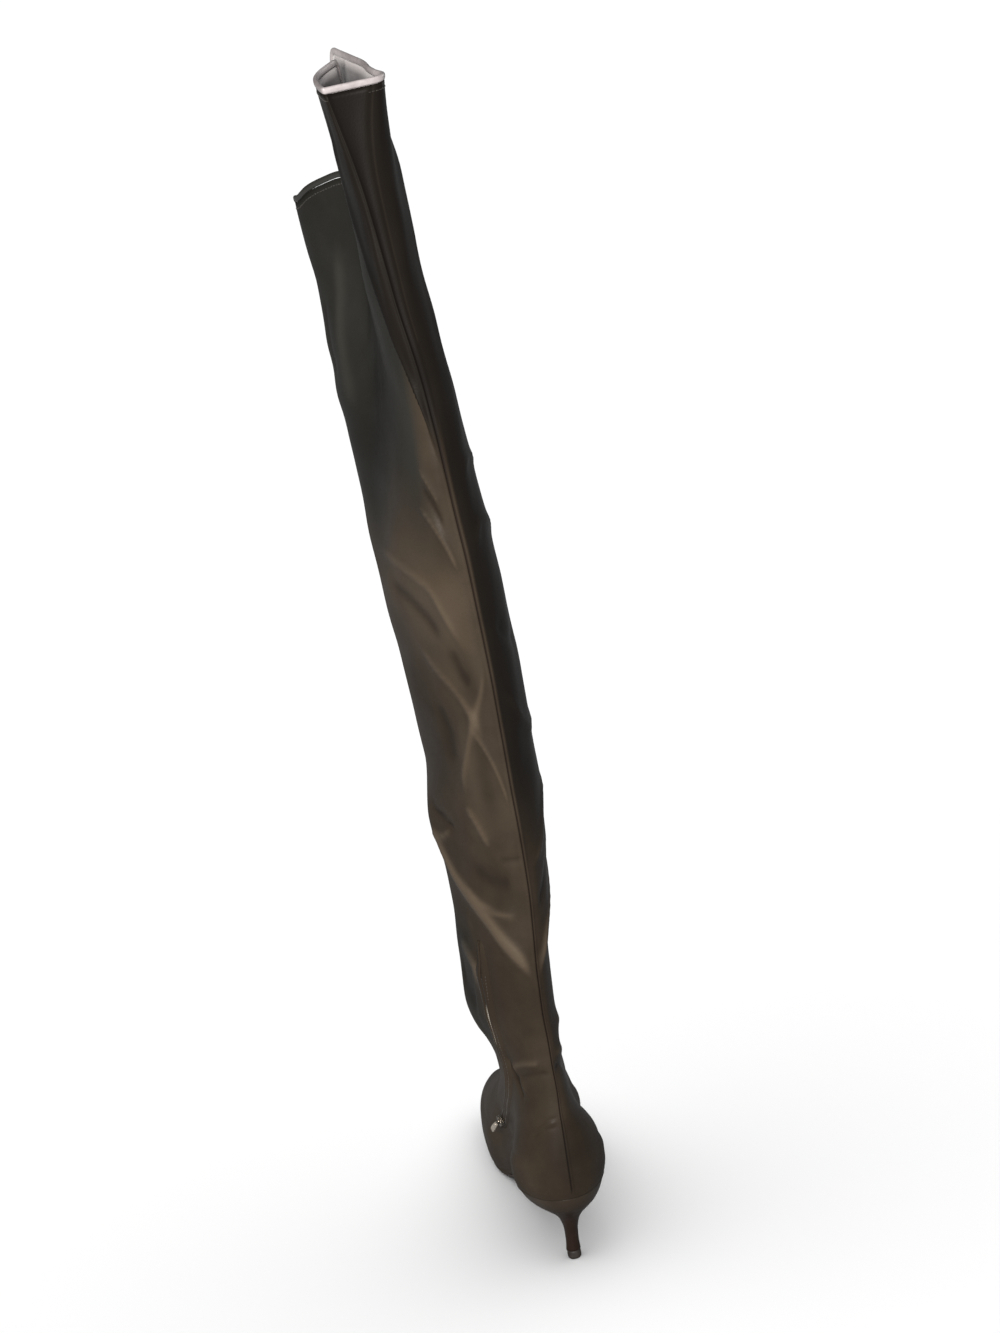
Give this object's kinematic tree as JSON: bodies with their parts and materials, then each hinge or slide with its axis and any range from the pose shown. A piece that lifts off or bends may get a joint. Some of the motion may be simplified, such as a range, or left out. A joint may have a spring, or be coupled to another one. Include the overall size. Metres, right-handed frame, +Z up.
{
  "type": "thigh high boot",
  "caption": "Slack thigh-high leather boot, open collar, slim covered heel, pointed toe, thin arched sole with toe spring, inner ankle zip whose pull tab swings.",
  "frame": {"origin": "centre of the heel tip's ground face", "axes": "+Y towards the toe, +X towards the outer side of the foot, +Z up the shaft; inner side and zip at -X"},
  "size_m": [0.0753, 0.2636, 0.8094],
  "materials": {
    "upper_leather": "thin smooth dark brown leather",
    "edge_leather": "light silver grey folded edge",
    "sole_leather": "dark stained sole leather",
    "insole_sock": "light grey sock lining on board",
    "heel_cover": "dark brown leather cover, drawn tight",
    "top_piece": "dark moulded top piece",
    "zip_tape": "dark tape with light teeth",
    "slider_metal": "light metal",
    "tab_metal": "dark lacquered metal"
  },
  "bodies": {
    "boot": {"upper": "upper_leather", "collar_edge": "edge_leather", "outsole": "sole_leather", "insole": "insole_sock", "heel": "heel_cover", "heel_tip": "top_piece", "zip_front": "zip_tape", "zip_back": "zip_tape", "zip_slider": "slider_metal"},
    "pull": {"pull_tab": "tab_metal"}
  },
  "joints": [
    {"name": "pull_tab_hinge", "type": "hinge", "parent": "boot", "child": "pull", "pos_m": [-0.02559, 0.08151, 0.06874], "axis": [-0.2199, 0.6515, 0.7261], "range_deg": [-8, 115]}
  ]
}
